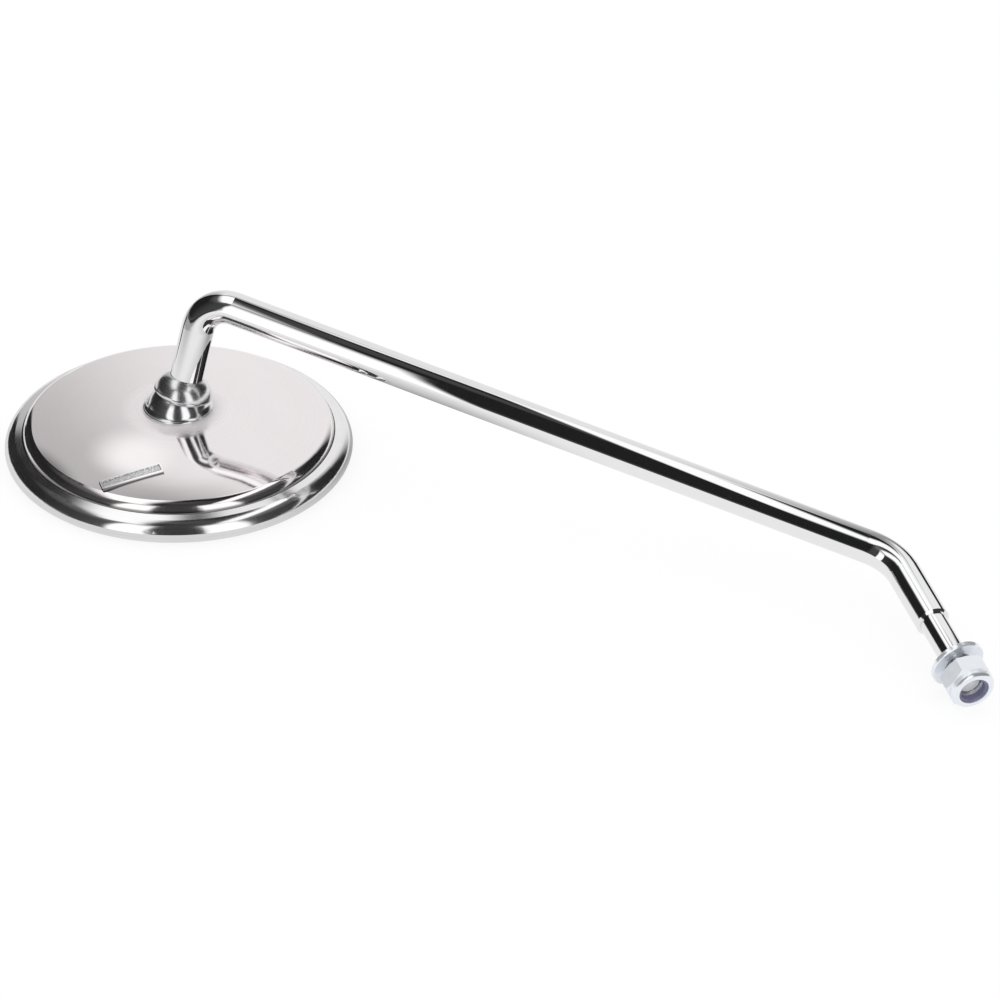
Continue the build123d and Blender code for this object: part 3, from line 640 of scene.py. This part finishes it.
# Paper behind, not part of the object: a wide white sheet that stands behind the head and that
# only metal sees, dimmer on the left, with the soft glow of a lamp high on it.
PAPER_LEVELS, PAPER_SPAN = (0.52, 0.88), (-0.2182, 0.0086)
LAMP_LEVEL = 1.0
LAMP_AT = (-0.1049, 0.4791)
LAMP_SIZE = (0.0714, 0.1301)
LAMP_SPAN = (0.3, 1.3)
paper, paper_places, paper_glow, paper_mix = card(
    "back_paper", start=(0, 0.3965, 0), turn=0.0, stands=True, strength=1.0,
    spans=((-0.2207, 0.23), (-0.05, 0.56)), fades=((0.0276, 0.24), (0.02, 0.38)))
lamp_off = [sums(paper, "DIVIDE", sums(paper, "SUBTRACT", place, middle), size)
            for place, middle, size in zip(paper_places, LAMP_AT, LAMP_SIZE)]
lamp_off = step(paper, "ShaderNodeCombineXYZ", *lamp_off).outputs["Vector"]
lamp = spread(paper, vectors(paper, "LENGTH", lamp_off, gives="Value"), 1.0, 0.0, *LAMP_SPAN)
paper_level = spread(paper, paper_places[0], *PAPER_LEVELS, *PAPER_SPAN)
paper.links.new(mixed(paper, lamp, paper_level, LAMP_LEVEL), paper_glow.inputs["Strength"])
paper_cover = paper_mix.inputs[0].links[0].from_socket
paper.links.new(sums(paper, "MAXIMUM", paper_cover, lamp), paper_mix.inputs[0])

# Camera: a long lens, looking down on the mirror from the front at about a third of a right
# angle. It is placed so that the head's foot falls on its own pixel of the frame.
DOWN = math.radians(32.91)
ROLL = math.radians(0.94)
DISTANCE = 1.400
FOCAL_PIXELS = 4607.0
HEAD_PIXEL = (179.4, 451.2)
FRAME_PIXELS = 1000.0
SENSOR = 36.0
NEAREST = 0.05
FARTHEST = 50

ahead = Vector((0, math.cos(DOWN), -math.sin(DOWN)))
level_right = Vector((1, 0, 0))
level_up = Vector((0, math.sin(DOWN), math.cos(DOWN)))
right = math.cos(ROLL) * level_right + math.sin(ROLL) * level_up
up = -math.sin(ROLL) * level_right + math.cos(ROLL) * level_up
across = (HEAD_PIXEL[0] - FRAME_PIXELS / 2) / FOCAL_PIXELS
below = (HEAD_PIXEL[1] - FRAME_PIXELS / 2) / FOCAL_PIXELS
eye = -DISTANCE * (ahead + across * right - below * up)
facing = Matrix((right, up, -ahead)).transposed().to_4x4()
lens = bpy.data.cameras.new("camera")
lens.sensor_width = SENSOR
lens.lens = FOCAL_PIXELS / FRAME_PIXELS * SENSOR
lens.clip_start = NEAREST
lens.clip_end = FARTHEST
camera = bpy.data.objects.new("camera", lens)
bpy.context.scene.collection.objects.link(camera)
camera.matrix_world = (Matrix.Translation(from_head(0, 0, 0)) @ Matrix.Rotation(VIEW_TURN, 4, "Z")
                       @ Matrix.Translation(eye) @ facing)
bpy.context.scene.camera = camera
bpy.context.scene.view_settings.view_transform = "Standard"
